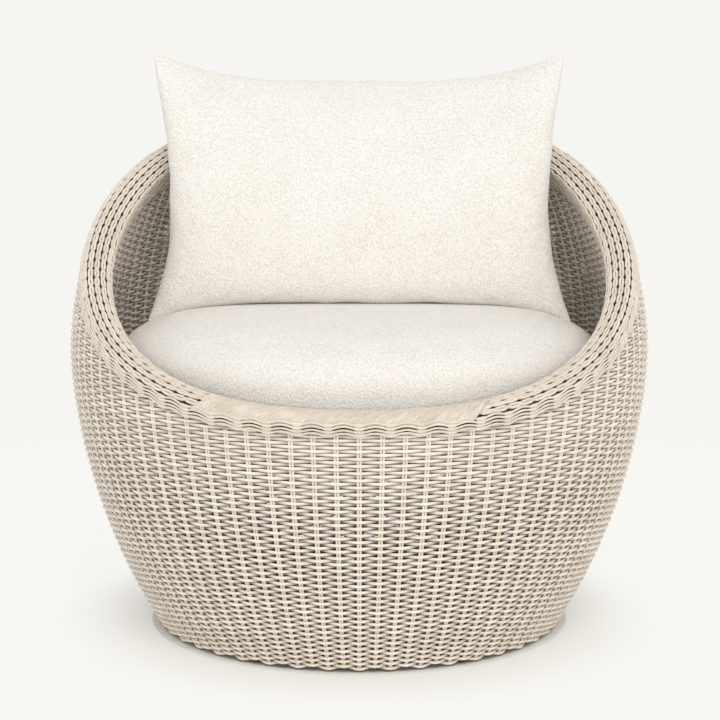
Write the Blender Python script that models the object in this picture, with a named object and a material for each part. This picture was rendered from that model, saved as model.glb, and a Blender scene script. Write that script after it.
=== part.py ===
# Woven tub lounge chair: a round double-walled shell on a bent aluminium tube frame,
# with a scooped rolled rim, a woven seat deck and two loose cushions.
# Metres, +Z up. The chair stands on z = 0 and faces -Y; its axis is the world Z axis.

import bmesh
import bpy
import numpy as np
from math import cos, floor, pi, radians, sin, sqrt, tan
from mathutils import Vector

# ---------------------------------------------------------------- driving dimensions

# Shell meridian: a superellipse turned about Z
shell_radius = 0.450            # widest half-width of the outer wall
widest_height = 0.434           # height of that widest line
closing_depth = 0.677           # how far below it the curve would close
closing_height = 0.567          # how far above it the curve would close
meridian_power = 1.747          # 2 is an ellipse, less is more pointed
shell_thickness = 0.046         # outer face to inner face
weave_thickness = 0.0115        # one woven wall
stake_count = 88                # upright pairs of stakes that the outer wall is woven round
stake_relief = 0.0024           # how far the weave stands out over them

# Rim line, where the outer wall meets the rolled border
rim_front_height = 0.356
rim_back_height = 0.732
rim_front_ease = 1.66           # larger keeps the front of the opening flat for longer
rim_back_ease = 2.89            # larger flattens the back of the opening
roll_skirt = 0.0255             # roll below the rim tube's centre
roll_crown = 0.0215             # roll above the rim tube's centre
roll_proud = 0.0025             # roll beyond the faces of both walls
roll_squareness = 2.6           # superellipse power of the roll's top

# Frame
tube_size = 0.022               # across the flats of every round tube
rib_width = 0.014
rib_count = 12
rail_width = 0.025
rail_height = 0.020
rail_spacing = 0.185
rail_corner = 0.003
deck_height = 0.3365            # top of the woven deck, which carries the seat cushion
deck_thickness = 0.010

# Foot
foot_gap = 0.003                # foot border above the floor
foot_border_height = 0.020
foot_border_proud = 0.0006
foot_border_inset = 0.0085      # how deep the border reaches into the wall at its foot
foot_corner = 0.005
foot_ring_depth = 0.0237        # outer wall's face to the foot ring's centre
glide_height = 0.0115
glide_radius = 0.0093
glide_chamfer = 0.0015
glide_inset = 0.0046            # glide axis inboard of the foot ring's centre
glide_count = 6

# Seat cushion
seat_side_gap = 0.033           # cushion to the inner wall
seat_bulge_rise = 0.070         # fullest line above the cushion's underside
seat_crown_rise = 0.088         # middle of the top above the fullest line
seat_top_power = 4.0
seat_crown_power = 2.6
seat_flat_margin = 0.050        # from the flat underside to the fullest line
seam_rise = 0.027               # sewn seam above the underside
seam_width = 0.008
seam_depth = 0.011
seam_lip = 0.0045

# Back cushion
back_seam_y = 0.030             # bottom seam, behind the chair's axis
back_lean = 13.0                # degrees
back_height = 0.345             # bottom seam to the middle of the top seam
back_ear = 0.045                # top corners above the middle of the top seam
back_ear_power = 3.5            # larger keeps the rise of the top seam nearer its corners
back_droop = 0.018              # bottom corners below the middle of the bottom seam
back_side_gap = 0.031           # waist to the rolled rim
back_rest_gap = 0.004           # back face to the rolled rim that it leans on
back_waist_level = -0.30        # -1 bottom seam, +1 top seam
back_flare_top = 0.030
back_flare_bottom = 0.034
back_half_thickness = 0.092     # front face before the seams' surface
back_fill = 0.60                # share of the room behind the seams that the back face fills
back_wrap = 0.100               # how far the top's middle settles back into the bowl
roll_overhang = 0.8             # room gained per height above the rolled rim's middle

# Cover zips
zip_width = 0.0066
zip_thickness = 0.0020
seat_zip_half_angle = 52.5      # degrees either side of the back
slider_half_travel = 41.25      # degrees either side of the back, at a corner of the zip
slider_length = 0.009
slider_pull = 0.0135
slider_thickness = 0.0022
back_zip_half_length = 0.155
back_zip_share = 0.5            # zip's middle between the back face's first and second rows
back_slider_margin = 0.015

# Clearances
weld_gap = 0.0004               # between pieces that are welded, tied or seated
cavity_gap = 0.0009             # tube or rib to each wall
sewn_gap = 0.0003
zip_lift = 0.0009               # back zip off the cushion's curved face

# Facets
ring_facets = 60                # round the chair
lower_rows = 4                  # outer wall below the deck
upper_rows = 5                  # walls above the deck
seat_facets = 48
crown_steps = 9
back_columns = 20
back_rows = 12

floor_height = 0.0
rail_rows = (-1, 0, 1)

# ---------------------------------------------------------------- derived places

cavity = shell_thickness - 2 * weave_thickness
cavity_middle = shell_thickness / 2
tube_half = tube_size / 2
rib_outer_depth = weave_thickness + cavity_gap
rib_inner_depth = shell_thickness - weave_thickness - cavity_gap
deck_underside = deck_height - deck_thickness
seat_ring_top = deck_underside - weld_gap
seat_ring_height = seat_ring_top - tube_half
inner_wall_foot = deck_underside
wall_foot = foot_gap + foot_border_height + weld_gap
foot_ring_height = floor_height + glide_height + weld_gap + tube_half
facet_shrink = cos(pi / ring_facets)
octagon_corner = tube_half / cos(pi / 8)

# ---------------------------------------------------------------- materials


def plain_material(name, colour, roughness, metallic=0.0):
    material = bpy.data.materials.new(name)
    material.use_nodes = True
    shader = material.node_tree.nodes["Principled BSDF"]
    shader.inputs["Base Color"].default_value = (*colour, 1.0)
    shader.inputs["Roughness"].default_value = roughness
    shader.inputs["Metallic"].default_value = metallic
    return material


weave_finish = ("woven_resin", (0.60, 0.52, 0.42), 0.62)
roll_finish = ("rim_resin", (0.63, 0.55, 0.45), 0.60)
foot_finish = ("foot_resin", (0.55, 0.47, 0.38), 0.62)
inner_finish = ("inner_resin", (0.52, 0.44, 0.35), 0.65)
deck_finish = ("deck_resin", (0.50, 0.42, 0.33), 0.66)
frame_finish = ("frame_coating", (0.34, 0.29, 0.24), 0.42)
rail_finish = ("rail_coating", (0.33, 0.28, 0.23), 0.42)
glide_finish = ("glide_nylon", (0.05, 0.05, 0.048), 0.5)
seat_finish = ("seat_boucle", (0.86, 0.83, 0.77), 0.92)
back_finish = ("back_boucle", (0.85, 0.82, 0.76), 0.92)
tape_finish = ("zip_tape", (0.78, 0.75, 0.69), 0.7)
slider_finish = ("slider_nickel", (0.60, 0.58, 0.55), 0.3, 0.9)

# ---------------------------------------------------------------- shell geometry


def meridian(height):
    """Radius and slope dr/dz of the outer face at a height."""
    height = np.asarray(height, float)
    reach = np.where(height < widest_height, closing_depth, closing_height)
    share = np.abs(height - widest_height) / reach
    rest = 1 - share**meridian_power
    radius = shell_radius * rest ** (1 / meridian_power)
    bend = share ** (meridian_power - 1) * rest ** (1 / meridian_power - 1) / reach
    return radius, -np.sign(height - widest_height) * shell_radius * bend


def wall_radius(height, depth):
    """Radius at a height of the face that lies a depth inside the outer face."""
    radius, slope = meridian(height)
    return radius - depth * np.sqrt(1 + slope**2)


def meridian_frame(height):
    """A point of the outer face with its outward normal and its upward tangent, as (radius, z)."""
    radius, slope = meridian(height)
    size = sqrt(1 + slope**2)
    point = np.array([radius, height], float)
    normal = np.array([1.0, -slope]) / size
    tangent = np.array([slope, 1.0]) / size
    return point, normal, tangent


def rim_height(angle):
    """Height of the rim line; the angle is 0 at the front and pi at the back."""
    share = (1 - cos(angle)) / 2
    rise = 1 - (1 - share**rim_front_ease) ** rim_back_ease
    return rim_front_height + (rim_back_height - rim_front_height) * rise


def rim_section(angle):
    """Centre of the rim tube with the normal and tangent that its section is drawn on."""
    point, normal, tangent = meridian_frame(rim_height(angle))
    centre = point - cavity_middle * normal + roll_skirt * tangent
    return centre, normal, tangent


def top_height(angle, depth, below_centre):
    """Height at which a wall or rib face ends, a distance below the rim tube's centre.

    Between the roll's stations it follows the roll's straight edges.
    """
    place = angle * ring_facets / (2 * pi) - 0.5
    before = floor(place)
    ends = []
    for station in (before, before + 1):
        centre, normal, tangent = rim_section(2 * pi * (station + 0.5) / ring_facets)
        end = centre + (cavity_middle - depth) * normal - below_centre * tangent
        ends.append(float(end[1]))
    return ends[0] + (ends[1] - ends[0]) * (place - before)


def lower_levels():
    return np.linspace(wall_foot, inner_wall_foot, lower_rows + 1)


def upper_levels(angle, depth, below_centre):
    wall_top = top_height(angle, depth, roll_skirt + weld_gap)
    levels = np.linspace(inner_wall_foot, wall_top, upper_rows + 1)
    end = top_height(angle, depth, below_centre)
    return levels if end <= wall_top else np.append(levels, end)


def face_points(levels, depth):
    return [(float(wall_radius(z, depth)), float(z)) for z in levels]


def around(angle, radius, height):
    return Vector((radius * sin(angle), -radius * cos(angle), height))


def ring_angles(count):
    """Angles of the stations, half a facet off the front so that a facet faces it."""
    return [2 * pi * (k + 0.5) / count for k in range(count)]


# ---------------------------------------------------------------- building objects


def add_object(name, verts, faces, finish, origin=(0.0, 0.0, 0.0), sharp=40.0):
    origin = Vector(origin)
    mesh = bpy.data.meshes.new(name)
    mesh.from_pydata([tuple(Vector(v) - origin) for v in verts], [], faces)
    shape = bmesh.new()
    shape.from_mesh(mesh)
    if shape.calc_volume(signed=True) < 0:
        bmesh.ops.reverse_faces(shape, faces=shape.faces)
    shape.to_mesh(mesh)
    shape.free()
    mesh.materials.append(plain_material(*finish))
    mesh.shade_smooth()
    mesh.set_sharp_from_angle(angle=radians(sharp))
    obj = bpy.data.objects.new(name, mesh)
    obj.location = origin
    bpy.context.scene.collection.objects.link(obj)
    return obj


def ring_loft(name, section, finish, angles, sharp=40.0):
    """A closed ring whose section, a loop of (radius, z) running counter-clockwise, varies round it."""
    verts = []
    count = len(angles)
    for angle in angles:
        loop = section(angle)
        verts += [around(angle, radius, height) for radius, height in loop]
    size = len(verts) // count
    faces = []
    for k in range(count):
        ahead = (k + 1) % count
        for i in range(size):
            j = (i + 1) % size
            faces.append((k * size + i, ahead * size + i, ahead * size + j, k * size + j))
    return add_object(name, verts, faces, finish, sharp=sharp)


def bar_loft(name, sections, finish, origin=(0.0, 0.0, 0.0), sharp=40.0):
    """A bar through a row of equal loops of points, with flat ends."""
    size = len(sections[0])
    verts = [point for loop in sections for point in loop]
    faces = [tuple(reversed(range(size)))]
    for k in range(len(sections) - 1):
        for i in range(size):
            j = (i + 1) % size
            faces.append((k * size + i, k * size + j, (k + 1) * size + j, (k + 1) * size + i))
    last = (len(sections) - 1) * size
    faces.append(tuple(last + i for i in range(size)))
    return add_object(name, verts, faces, finish, origin, sharp)


def octagon(centre, turn=0.0):
    """Corners of a tube's section round a (radius, z) centre, flats square to the turned axes."""
    corners = []
    for k in range(8):
        angle = turn + pi / 8 + k * pi / 4
        corners.append((centre[0] + octagon_corner * cos(angle), centre[1] + octagon_corner * sin(angle)))
    return corners


# ---------------------------------------------------------------- woven shell


def stake_angles():
    """Stations over each pair of stakes and halfway to the next, the first at the front."""
    return [pi * k / stake_count for k in range(2 * stake_count)]


def outer_wall_section(angle):
    """Ribbed outside, fullest over the stakes, and plain inside."""
    skirt = roll_skirt + weld_gap
    hollow = stake_relief * (1 - cos(stake_count * angle)) / 2
    outside = np.append(lower_levels(), upper_levels(angle, hollow, skirt)[1:])
    inside = np.append(lower_levels(), upper_levels(angle, weave_thickness, skirt)[1:])
    return face_points(outside, hollow) + face_points(inside, weave_thickness)[::-1]


def inner_wall_section(angle):
    skirt = roll_skirt + weld_gap
    near = shell_thickness - weave_thickness
    outside = upper_levels(angle, near, skirt)
    inside = upper_levels(angle, shell_thickness, skirt)
    return face_points(outside, near) + face_points(inside, shell_thickness)[::-1]


def rim_roll_section(angle):
    """An arch over the rim tube with a skirt down each side."""
    centre, normal, tangent = rim_section(angle)
    half = cavity_middle + roll_proud
    hollow = cavity / 2 / cos(pi / 8)
    loop = [(half, -roll_skirt)]
    for step in range(9):
        turn = pi * step / 8
        across = abs(cos(turn)) ** (2 / roll_squareness) * (1 if turn < pi / 2 else -1)
        rise = max(sin(turn), 0.0) ** (2 / roll_squareness)
        loop.append((half * across, roll_crown * rise))
    loop += [(-half, -roll_skirt), (-cavity / 2, -roll_skirt)]
    for step in range(4):
        turn = pi - pi / 8 - step * pi / 4
        loop.append((hollow * cos(turn), hollow * sin(turn)))
    loop.append((cavity / 2, -roll_skirt))
    return [tuple(centre + out * normal + up * tangent) for out, up in loop]


def foot_border_section(angle):
    """A low rolled hem that closes the foot of the outer wall."""
    top = wall_foot - weld_gap
    outline = [
        (foot_gap, foot_corner),
        (foot_gap + foot_corner, -foot_border_proud),
        (top - foot_corner, -foot_border_proud),
        (top, -foot_border_proud / 2),
        (top, foot_border_inset),
        (foot_gap + foot_corner / 2, foot_border_inset),
        (foot_gap, foot_border_inset - foot_corner / 3),
    ]
    return [(float(wall_radius(height, depth)), height) for height, depth in outline]


def make_shell():
    angles = ring_angles(ring_facets)
    ring_loft("outer_weave", outer_wall_section, weave_finish, stake_angles(), sharp=10.0)
    ring_loft("inner_weave", inner_wall_section, inner_finish, angles)
    ring_loft("rim_border", rim_roll_section, roll_finish, angles)
    ring_loft("foot_border", foot_border_section, foot_finish, angles)


# ---------------------------------------------------------------- frame


def foot_ring_centre():
    """The foot ring lies in the wall's cavity, at the height that the glides give it."""
    height = foot_ring_height
    for _ in range(20):
        point, normal, _ = meridian_frame(height)
        height -= float((point - foot_ring_depth * normal)[1]) - foot_ring_height
    point, normal, _ = meridian_frame(height)
    return point - foot_ring_depth * normal


def seat_ring_radius():
    """Its outer flat touches the inner faces of the ribs at the lowest point of that flat."""
    flat_foot = seat_ring_height - tube_half * tan(pi / 8)
    levels = lower_levels()
    rib_face = np.interp(flat_foot, levels, wall_radius(levels, rib_inner_depth))
    return float(rib_face) - weld_gap - tube_half


def rim_tube_section(angle):
    centre, normal, _ = rim_section(angle)
    turn = np.arctan2(normal[1], normal[0])
    return octagon(centre, turn)


def rib_chains(angle):
    """Outer and inner edge of a rib at a station, from the foot ring up to the rim tube."""
    foot = float(foot_ring_centre()[1]) + tube_half + weld_gap
    below = lower_levels()
    chains = []
    for depth in (rib_outer_depth, rib_inner_depth):
        first = (float(np.interp(foot, below, wall_radius(below, depth))), foot)
        above = upper_levels(angle, depth, tube_half + weld_gap)
        chain = [first] + face_points(below[1:], depth) + face_points(above[1:], depth)
        chains.append([around(angle, radius, height) for radius, height in chain])
    return chains


def make_rib(number):
    """A flat-sided bar bent to the shell, parallel to the facets that it stands between."""
    angle = 2 * pi * number / rib_count
    before = rib_chains(angle - pi / ring_facets)
    after = rib_chains(angle + pi / ring_facets)
    sections = []
    for k in range(len(before[0])):
        loop = []
        for side, edge in ((1, 0), (1, 1), (-1, 1), (-1, 0)):
            start, end = before[edge][k], after[edge][k]
            share = 0.5 + side * rib_width / 2 / (end - start).length
            loop.append(start.lerp(end, share))
        sections.append(loop)
    return bar_loft(f"rib_{number + 1:02d}", sections, frame_finish)


def make_rail(name, row):
    """A seat rail between the inner flats of the seat ring, with its ends cut to the ring."""
    y = row * rail_spacing
    reach = (seat_ring_radius() - tube_half) * facet_shrink - weld_gap
    half, bottom = rail_width / 2, seat_ring_top - rail_height
    outline = [
        (-half, bottom + rail_corner),
        (-half + rail_corner, bottom),
        (half - rail_corner, bottom),
        (half, bottom + rail_corner),
        (half, seat_ring_top - rail_corner),
        (half - rail_corner, seat_ring_top),
        (-half + rail_corner, seat_ring_top),
        (-half, seat_ring_top - rail_corner),
    ]
    ends = []
    for side in (-1, 1):
        ends.append([Vector((side * sqrt(reach**2 - (y + dy) ** 2), y + dy, z)) for dy, z in outline])
    return bar_loft(name, ends, rail_finish)


def make_frame():
    foot_centre = foot_ring_centre()
    seat_centre = (seat_ring_radius(), seat_ring_height)
    angles = ring_angles(ring_facets)
    ring_loft("foot_ring", lambda angle: octagon(foot_centre), frame_finish, angles)
    ring_loft("seat_ring", lambda angle: octagon(seat_centre), frame_finish, angles)
    ring_loft("rim_tube", rim_tube_section, frame_finish, angles)
    for number in range(rib_count):
        make_rib(number)
    for name, row in zip(("seat_rail_front", "seat_rail_middle", "seat_rail_back"), rail_rows):
        make_rail(name, row)


# ---------------------------------------------------------------- deck and glides


def make_deck():
    """The woven deck panel: a flat disc that lies on the seat ring inside the inner wall."""
    radius = float(wall_radius(deck_underside, shell_thickness)) - weld_gap
    verts, faces = [], []
    for height in (deck_underside, deck_height):
        verts += [around(angle, radius, height) for angle in ring_angles(ring_facets)]
    for k in range(ring_facets):
        ahead = (k + 1) % ring_facets
        faces.append((k, ahead, ring_facets + ahead, ring_facets + k))
    faces.append(tuple(reversed(range(ring_facets))))
    faces.append(tuple(range(ring_facets, 2 * ring_facets)))
    return add_object("seat_deck", verts, faces, deck_finish)


def make_glide(number):
    """A turned nylon pad under the flat of the foot ring."""
    angle = 2 * pi * (number + 0.5) / glide_count
    radius = (float(foot_ring_centre()[0]) - glide_inset) * facet_shrink
    centre = around(angle, radius, floor_height)
    shoulder = (glide_radius, glide_chamfer)
    rings = [(glide_radius - glide_chamfer, 0.0), shoulder, (glide_radius, glide_height)]
    sections = []
    for size, height in rings:
        turns = [2 * pi * k / 20 for k in range(20)]
        sections.append([centre + Vector((size * cos(a), size * sin(a), height)) for a in turns])
    return bar_loft(f"glide_{number + 1}", sections, glide_finish)


# ---------------------------------------------------------------- seat cushion

seat_base = deck_height + weld_gap
seat_bulge_height = seat_base + seat_bulge_rise
seat_radius = float(wall_radius(seat_bulge_height, shell_thickness)) - seat_side_gap
seam_radius = seat_radius - seam_depth


def seat_profile():
    """Half section of the seat cushion as (radius, z): flat below, a sewn seam, then a full crown."""
    seam_low = seat_base + seam_rise - seam_width / 2
    seam_high = seam_low + seam_width
    below = seat_radius - seam_lip
    points = [
        (seat_radius - seat_flat_margin, seat_base),
        (seat_radius - seat_flat_margin / 3, seat_base + seam_rise / 6),
        (below, seam_low - seam_lip / 2),
        (seam_radius, seam_low),
        (seam_radius, seam_high),
        (below, seam_high + seam_lip / 2),
    ]
    points.append((seat_radius - seam_lip / 6, (seam_high + seat_bulge_height) / 2))
    for step in range(crown_steps):
        turn = pi / 2 * step / crown_steps
        radius = seat_radius * cos(turn) ** (2 / seat_top_power)
        height = seat_bulge_height + seat_crown_rise * sin(turn) ** (2 / seat_crown_power)
        points.append((radius, height))
    return points


def make_seat_cushion():
    profile = seat_profile()
    angles = ring_angles(seat_facets)
    verts = [around(angle, radius, height) for radius, height in profile for angle in angles]
    faces = [tuple(reversed(range(seat_facets)))]
    for row in range(len(profile) - 1):
        for k in range(seat_facets):
            ahead = (k + 1) % seat_facets
            low, high = row * seat_facets, (row + 1) * seat_facets
            faces.append((low + k, low + ahead, high + ahead, high + k))
    top = len(verts)
    verts.append(Vector((0.0, 0.0, seat_bulge_height + seat_crown_rise)))
    last = (len(profile) - 1) * seat_facets
    for k in range(seat_facets):
        faces.append((last + k, last + (k + 1) % seat_facets, top))
    centre = (0.0, 0.0, seat_bulge_height)
    return add_object("seat_cushion", verts, faces, seat_finish, centre, sharp=60.0)


def make_seat_zip():
    """The cover's zip, a band that lies in the seam across the back of the cushion."""
    low = seat_base + seam_rise - zip_width / 2
    inner = seam_radius + sewn_gap
    sections = []
    for angle in ring_angles(seat_facets):
        if abs(angle - pi) > radians(seat_zip_half_angle) + pi / seat_facets / 2:
            continue
        outer = inner + zip_thickness
        loop = [(inner, low), (outer, low), (outer, low + zip_width), (inner, low + zip_width)]
        sections.append([around(angle, radius, height) for radius, height in reversed(loop)])
    return bar_loft("seat_zip", sections, tape_finish)


def slider_outline():
    """Slider body with its pull folded flat beyond it, as (along, across)."""
    body, half = slider_length / 2, zip_width / 2
    pull, slim = slider_pull, zip_width / 4
    return [(-body, -half), (body, -half), (body, -slim), (pull, -slim),
            (pull, slim), (body, slim), (body, half), (-body, half)]


def make_seat_slider():
    """The zip's slider, whose origin is on the cushion's axis, round which it runs."""
    angle = pi - radians(slider_half_travel)
    along = Vector((cos(angle), sin(angle), 0.0))
    inner = seam_radius + sewn_gap + zip_thickness + sewn_gap
    middle = seat_base + seam_rise
    loops = []
    for radius in (inner, inner + slider_thickness):
        centre = around(angle, radius, middle)
        loops.append([centre + along * a + Vector((0.0, 0.0, b)) for a, b in slider_outline()])
    return bar_loft("seat_zip_slider", loops, slider_finish, (0.0, 0.0, middle))


# ---------------------------------------------------------------- back cushion

back_seam_height = seat_bulge_height + seat_crown_rise + weld_gap


def spaced(count):
    """Values from -1 to 1, closer together towards both ends."""
    return [-cos(pi * k / count) for k in range(count + 1)]


def back_seam_depth(height):
    """How far behind the chair's axis the side seams lie at a height."""
    return back_seam_y + (height - back_seam_height) * tan(radians(back_lean))


def bowl_radius(height, angle):
    """Room from the chair's axis to the rolled rim or the inner wall below it."""
    centre, _, _ = rim_section(angle)
    level = min(height, float(centre[1]))
    radius = float(wall_radius(level, shell_thickness + roll_proud)) * facet_shrink
    return radius + (height - level) * roll_overhang


def back_flare(level):
    """How much wider than its waist the cushion is at a level from -1 to 1."""
    if level > back_waist_level:
        share = (level - back_waist_level) / (1 - back_waist_level)
        return back_flare_top * share**2.2
    share = (back_waist_level - level) / (1 + back_waist_level)
    return back_flare_bottom * share**1.8


def back_waist():
    """Half-width at the waist for which the side seams stay clear of the rolled rim."""
    room = shell_radius
    for level in spaced(back_rows)[1:-1]:
        height = back_seam_height + back_height * (level + 1) / 2
        depth = back_seam_depth(height)
        angle = pi / 2 + np.arcsin(depth / bowl_radius(height, pi / 2))
        reach = sqrt(bowl_radius(height, angle) ** 2 - depth**2)
        room = min(room, reach - back_flare(level))
    return room - back_side_gap


def back_half_width(level):
    """Half the cushion's width at a level from -1, the bottom seam, to +1, the top seam."""
    return back_waist_width + back_flare(level)


def back_height_at(side, level):
    bottom = back_seam_height - back_droop * side**4
    top = back_seam_height + back_height + back_ear * abs(side) ** back_ear_power
    return bottom + (top - bottom) * (level + 1) / 2


def back_middle(side, level):
    """How far behind the chair's axis the surface of the seams lies, hollowed towards the top."""
    hollow = back_wrap * (level + 1) / 2 * (1 - side**2)
    return back_seam_depth(back_height_at(side, level)) + hollow


def back_room(level):
    """How far the back face could reach behind the seams' surface before it meets the bowl."""
    height = back_height_at(0.0, level)
    return bowl_radius(height, pi) - back_rest_gap - back_middle(0.0, level)


def back_fullness(side, level, face):
    """Distance from the seams' surface to the front face, -1, or the back face, 1."""
    rise = sqrt(max(1 - level**2, 0.0))
    if face < 0:
        rise *= back_half_thickness * (1 - 0.22 * side**2 * (1 - level**2))
        return rise * sqrt(max(1 - side**6, 0.0))
    return back_fill * back_room(level) * rise * max(1 - side**6, 0.0) ** 1.3


def back_point(side, level, face):
    """A point of the cushion: side and level run from -1 to 1, face is -1 in front, 1 behind."""
    depth = back_middle(side, level) + face * back_fullness(side, level, face)
    return Vector((side * back_half_width(level), depth, back_height_at(side, level)))


back_waist_width = back_waist()


def make_back_cushion():
    sides, levels = spaced(back_columns), spaced(back_rows)
    verts, index = [], {}
    for face in (-1, 1):
        for j, level in enumerate(levels):
            for i, side in enumerate(sides):
                on_seam = i in (0, back_columns) or j in (0, back_rows)
                if on_seam and face == 1:
                    index[face, i, j] = index[-1, i, j]
                    continue
                index[face, i, j] = len(verts)
                verts.append(back_point(side, level, face))
    faces = []
    for face in (-1, 1):
        for j in range(back_rows):
            for i in range(back_columns):
                quad = [index[face, i, j], index[face, i + 1, j],
                        index[face, i + 1, j + 1], index[face, i, j + 1]]
                faces.append(quad if face == -1 else quad[::-1])
    centre = back_point(0.0, 0.0, 0)
    return add_object("back_cushion", verts, faces, back_finish, centre, sharp=75.0)


def back_zip_line(side, share):
    """A point of the back face between its first and second rows."""
    levels = spaced(back_rows)
    low, high = back_point(side, levels[1], 1), back_point(side, levels[2], 1)
    return low.lerp(high, share)


def back_zip_place():
    """The middle of the zip's outer face, with the directions up it and out of the cushion."""
    slope = (back_zip_line(0.0, 1.0) - back_zip_line(0.0, 0.0)).normalized()
    outward = Vector((0.0, slope.z, -slope.y))
    middle = back_zip_line(0.0, back_zip_share) + outward * (zip_lift + zip_thickness)
    return middle, slope, outward


def back_zip_columns():
    widest = back_half_width(spaced(back_rows)[1])
    return [side for side in spaced(back_columns) if abs(side) * widest < back_zip_half_length]


def make_back_zip():
    """A band sewn across the back face, whose outer face is flat for the slider to run on."""
    middle, _, outward = back_zip_place()
    row = (back_zip_line(0.0, 1.0) - back_zip_line(0.0, 0.0)).length
    half = zip_width / 2 / row
    sections = []
    for side in back_zip_columns():
        low = back_zip_line(side, back_zip_share - half)
        high = back_zip_line(side, back_zip_share + half)
        loop = [low + outward * zip_lift, high + outward * zip_lift]
        loop += [point + outward * (middle - point).dot(outward) for point in (high, low)]
        sections.append(loop)
    return bar_loft("back_zip", sections, tape_finish)


def make_back_slider():
    """The slider of the back cushion's zip, which runs straight along X."""
    middle, slope, outward = back_zip_place()
    middle.x = back_half_width(spaced(back_rows)[1]) * back_zip_columns()[-1] - back_slider_margin
    loops = []
    for lift in (sewn_gap, sewn_gap + slider_thickness):
        face = middle + outward * lift
        loops.append([face + slope * b - Vector((a, 0.0, 0.0)) for a, b in slider_outline()])
    return bar_loft("back_zip_slider", loops, slider_finish, middle)


# ---------------------------------------------------------------- the chair


def clear_scene():
    for obj in list(bpy.data.objects):
        bpy.data.objects.remove(obj, do_unlink=True)


def main():
    clear_scene()
    make_shell()
    make_frame()
    make_deck()
    for number in range(glide_count):
        make_glide(number)
    make_seat_cushion()
    make_seat_zip()
    make_seat_slider()
    make_back_cushion()
    make_back_zip()
    make_back_slider()
    print(f"seat cushion radius {seat_radius:.4f}, back cushion waist {back_waist_width:.4f}")


main()
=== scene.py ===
import math
from functools import partialmethod
from types import SimpleNamespace

import bmesh
import bpy
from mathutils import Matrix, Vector, noise


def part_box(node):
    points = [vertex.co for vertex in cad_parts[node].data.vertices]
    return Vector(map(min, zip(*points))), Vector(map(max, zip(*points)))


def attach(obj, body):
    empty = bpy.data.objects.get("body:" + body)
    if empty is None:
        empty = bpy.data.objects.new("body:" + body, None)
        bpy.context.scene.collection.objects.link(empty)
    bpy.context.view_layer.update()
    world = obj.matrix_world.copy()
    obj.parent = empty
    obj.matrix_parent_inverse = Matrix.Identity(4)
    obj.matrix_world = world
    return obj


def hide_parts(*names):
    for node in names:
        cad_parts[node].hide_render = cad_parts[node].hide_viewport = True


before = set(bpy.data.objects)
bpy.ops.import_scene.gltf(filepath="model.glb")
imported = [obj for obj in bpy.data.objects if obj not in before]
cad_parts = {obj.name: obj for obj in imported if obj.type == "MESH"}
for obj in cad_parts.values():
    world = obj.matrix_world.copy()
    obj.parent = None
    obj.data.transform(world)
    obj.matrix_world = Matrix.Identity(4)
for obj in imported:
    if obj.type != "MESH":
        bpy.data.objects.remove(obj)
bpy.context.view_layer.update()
print("frame loaded")

# the shell, in metres: a curve turned about Z, cut by a rim that rises to the back
shell = {
    "radius": 0.450, "widest": 0.434, "below": 0.677, "above": 0.567, "power": 1.747,
    "thickness": 0.046, "deckTop": 0.3365, "footGap": 0.003,
    "rimFront": 0.356, "rimBack": 0.732, "frontEase": 1.66, "backEase": 2.89,
    "skirt": 0.0255, "crown": 0.0215, "proud": 0.0025, "square": 2.6,
}


def meridian(height):
    # the outer wall's radius at a height, and how fast it changes there
    reach = shell["below"] if height < shell["widest"] else shell["above"]
    share = abs(height - shell["widest"]) / reach
    rest = 1 - share ** shell["power"]
    radius = shell["radius"] * rest ** (1 / shell["power"])
    bend = share ** (shell["power"] - 1) * rest ** (1 / shell["power"] - 1) / reach
    return radius, math.copysign(shell["radius"] * bend, shell["widest"] - height)


def rimHeight(angle):
    share = (1 - math.cos(angle)) / 2
    rise = 1 - (1 - share ** shell["frontEase"]) ** shell["backEase"]
    return shell["rimFront"] + (shell["rimBack"] - shell["rimFront"]) * rise


class Val:
    # a socket that takes part in sums; each sum adds a Math node to its tree
    def __init__(self, tree, socket):
        self.tree, self.socket = tree, socket

    def run(self, operation, *others):
        node = put(self.tree, "ShaderNodeMath", dict(enumerate((self, *others))), operation=operation)
        return Val(self.tree, node.outputs[0])

    __add__ = partialmethod(run, "ADD")
    __sub__ = partialmethod(run, "SUBTRACT")
    __mul__ = partialmethod(run, "MULTIPLY")
    __truediv__ = partialmethod(run, "DIVIDE")
    __pow__ = partialmethod(run, "POWER")

    def within(self, low, high):
        return self.run("MAXIMUM", low).run("MINIMUM", high)

    def remap(self, low, high, first, last, curve="SMOOTHSTEP"):
        inputs = {"Value": self, 1: low, 2: high, 3: first, 4: last}
        node = put(self.tree, "ShaderNodeMapRange", inputs, interpolation_type=curve)
        return Val(self.tree, node.outputs[0])


def feed(tree, node, inputs):
    # links or sets a node's inputs, each by its name or number
    for name, value in inputs.items():
        if isinstance(value, Val):
            value = value.socket
        if isinstance(value, bpy.types.NodeSocket):
            tree.links.new(value, node.inputs[name])
        else:
            node.inputs[name].default_value = value


def put(tree, kind, inputs=None, **settings):
    node = tree.nodes.new(kind)
    for name, value in settings.items():
        setattr(node, name, value)
    feed(tree, node, inputs or {})
    return node


def geo(tree, kind, inputs=None, output=0, **settings):
    return put(tree, "GeometryNode" + kind, inputs, **settings).outputs[output]


def split(tree, socket):
    node = put(tree, "ShaderNodeSeparateXYZ", {0: socket})
    return [Val(tree, out) for out in node.outputs]


def combine(tree, x, y, z):
    return put(tree, "ShaderNodeCombineXYZ", {0: x, 1: y, 2: z}).outputs[0]


def addScaled(tree, start, direction, factor):
    part = put(tree, "ShaderNodeVectorMath", {0: direction, "Scale": factor}, operation="SCALE")
    total = put(tree, "ShaderNodeVectorMath", {0: start, 1: part.outputs[0]}, operation="ADD")
    return total.outputs[0]


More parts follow.
